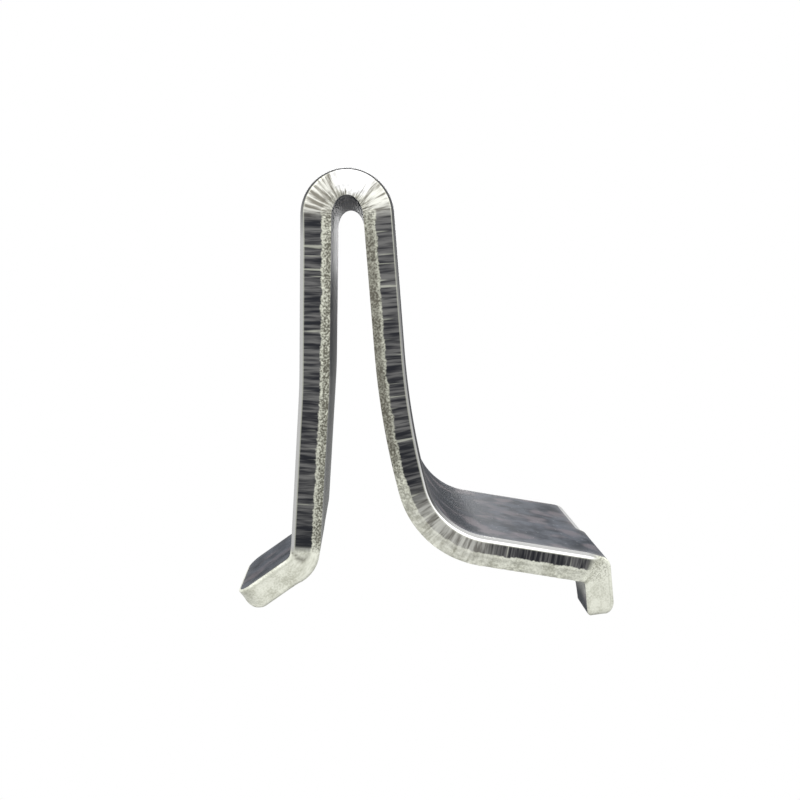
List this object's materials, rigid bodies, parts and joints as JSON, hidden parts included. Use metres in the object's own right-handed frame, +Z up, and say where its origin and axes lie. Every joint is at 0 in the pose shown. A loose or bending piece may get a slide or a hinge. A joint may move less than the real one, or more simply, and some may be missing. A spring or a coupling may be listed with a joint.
{
  "type": "pilaster shelf clip",
  "caption": "Folded steel strip clip for a slotted shelf channel: a springy hairpin seat leg with a hooked tongue, and a brace leg with a ledge and a short lip.",
  "frame": {"origin": "foot of the seat leg, at the shoulder behind its tongue, on the leg's outer face, in the middle of the strip's width", "axes": "+Z is up along the legs towards the hairpin, +X points from the seat leg to the ledge and its lip, and Y runs across the strip's width"},
  "size_m": [0.0304, 0.016, 0.0354],
  "materials": {
    "plated_steel": "bright zinc plating over blanked and folded steel strip"
  },
  "bodies": {
    "root": {"clip": "plated_steel"}
  },
  "joints": []
}
